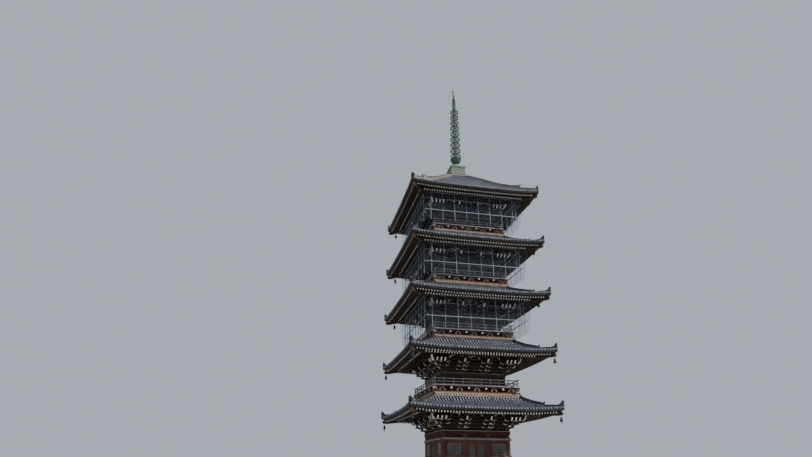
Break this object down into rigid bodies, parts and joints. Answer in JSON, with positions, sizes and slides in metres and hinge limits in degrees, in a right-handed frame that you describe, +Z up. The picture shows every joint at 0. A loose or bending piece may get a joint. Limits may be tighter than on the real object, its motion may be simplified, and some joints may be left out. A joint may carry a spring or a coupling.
{
  "type": "scale model of a five-storey pagoda",
  "caption": "Half-size timber pagoda with stacked tiled roofs, bracketed eaves, railed balconies, net frames, a ringed spire and a pair of opening front doors.",
  "frame": {"origin": "on the ground under the mast, at the middle of the stone platform's underside", "axes": "+Z up the mast, -Y out of the front doors, +X to the right of someone facing the front"},
  "size_m": [6.616, 6.9084, 21.5],
  "materials": {
    "stone": "weathered dressed stone",
    "timber": "old dark brown timber",
    "weathered_timber": "grey-brown weathered timber",
    "door_timber": "reddish brown panelled timber",
    "tile": "smoke-fired grey roof tile",
    "bronze": "dark bronze with green patina",
    "pipe": "dull galvanised pipe"
  },
  "bodies": {
    "building": {"platform": "stone", "front_steps": "stone", "ground_sill": "timber", "floor": "weathered_timber", "front_wall_left": "timber", "front_wall_right": "timber", "front_wall_over_door": "timber", "back_wall": "timber", "left_wall": "timber", "right_wall": "timber", "head_beam_1": "timber", "back_doors": "door_timber", "left_doors": "door_timber", "right_doors": "door_timber", "spire_base": "tile", "dew_basin": "bronze", "inverted_bowl": "bronze", "lotus_cup": "bronze", "ringed_shaft": "bronze", "water_flame": "bronze", "jewels": "bronze", "balcony_base_2": "timber", "balcony_deck_2": "weathered_timber", "railing_2": "weathered_timber", "walls_2": "timber", "balcony_base_3": "timber", "balcony_deck_3": "weathered_timber", "railing_3": "weathered_timber", "walls_3": "timber", "balcony_base_4": "timber", "balcony_deck_4": "weathered_timber", "railing_4": "weathered_timber", "walls_4": "timber", "balcony_base_5": "timber", "balcony_deck_5": "weathered_timber", "railing_5": "weathered_timber", "walls_5": "timber", "brackets_1": "timber", "eaves_1": "weathered_timber", "roof_1": "tile", "brackets_2": "timber", "eaves_2": "weathered_timber", "roof_2": "tile", "brackets_3": "timber", "eaves_3": "weathered_timber", "roof_3": "tile", "brackets_4": "timber", "eaves_4": "weathered_timber", "roof_4": "tile", "brackets_5": "timber", "eaves_5": "weathered_timber", "roof_5": "tile", "net_frame_3": "pipe", "net_frame_4": "pipe", "net_frame_5": "pipe"},
    "door_left": {"front_door_left": "door_timber"},
    "door_right": {"front_door_right": "door_timber"}
  },
  "joints": [
    {"name": "front_door_left_hinge", "type": "hinge", "parent": "building", "child": "door_left", "pos_m": [-0.368, -1.425, 1.385], "axis": [0, 0, -1], "range_deg": [0, 90]},
    {"name": "front_door_right_hinge", "type": "hinge", "parent": "building", "child": "door_right", "pos_m": [0.368, -1.425, 1.385], "axis": [0, 0, 1], "range_deg": [0, 90]}
  ]
}
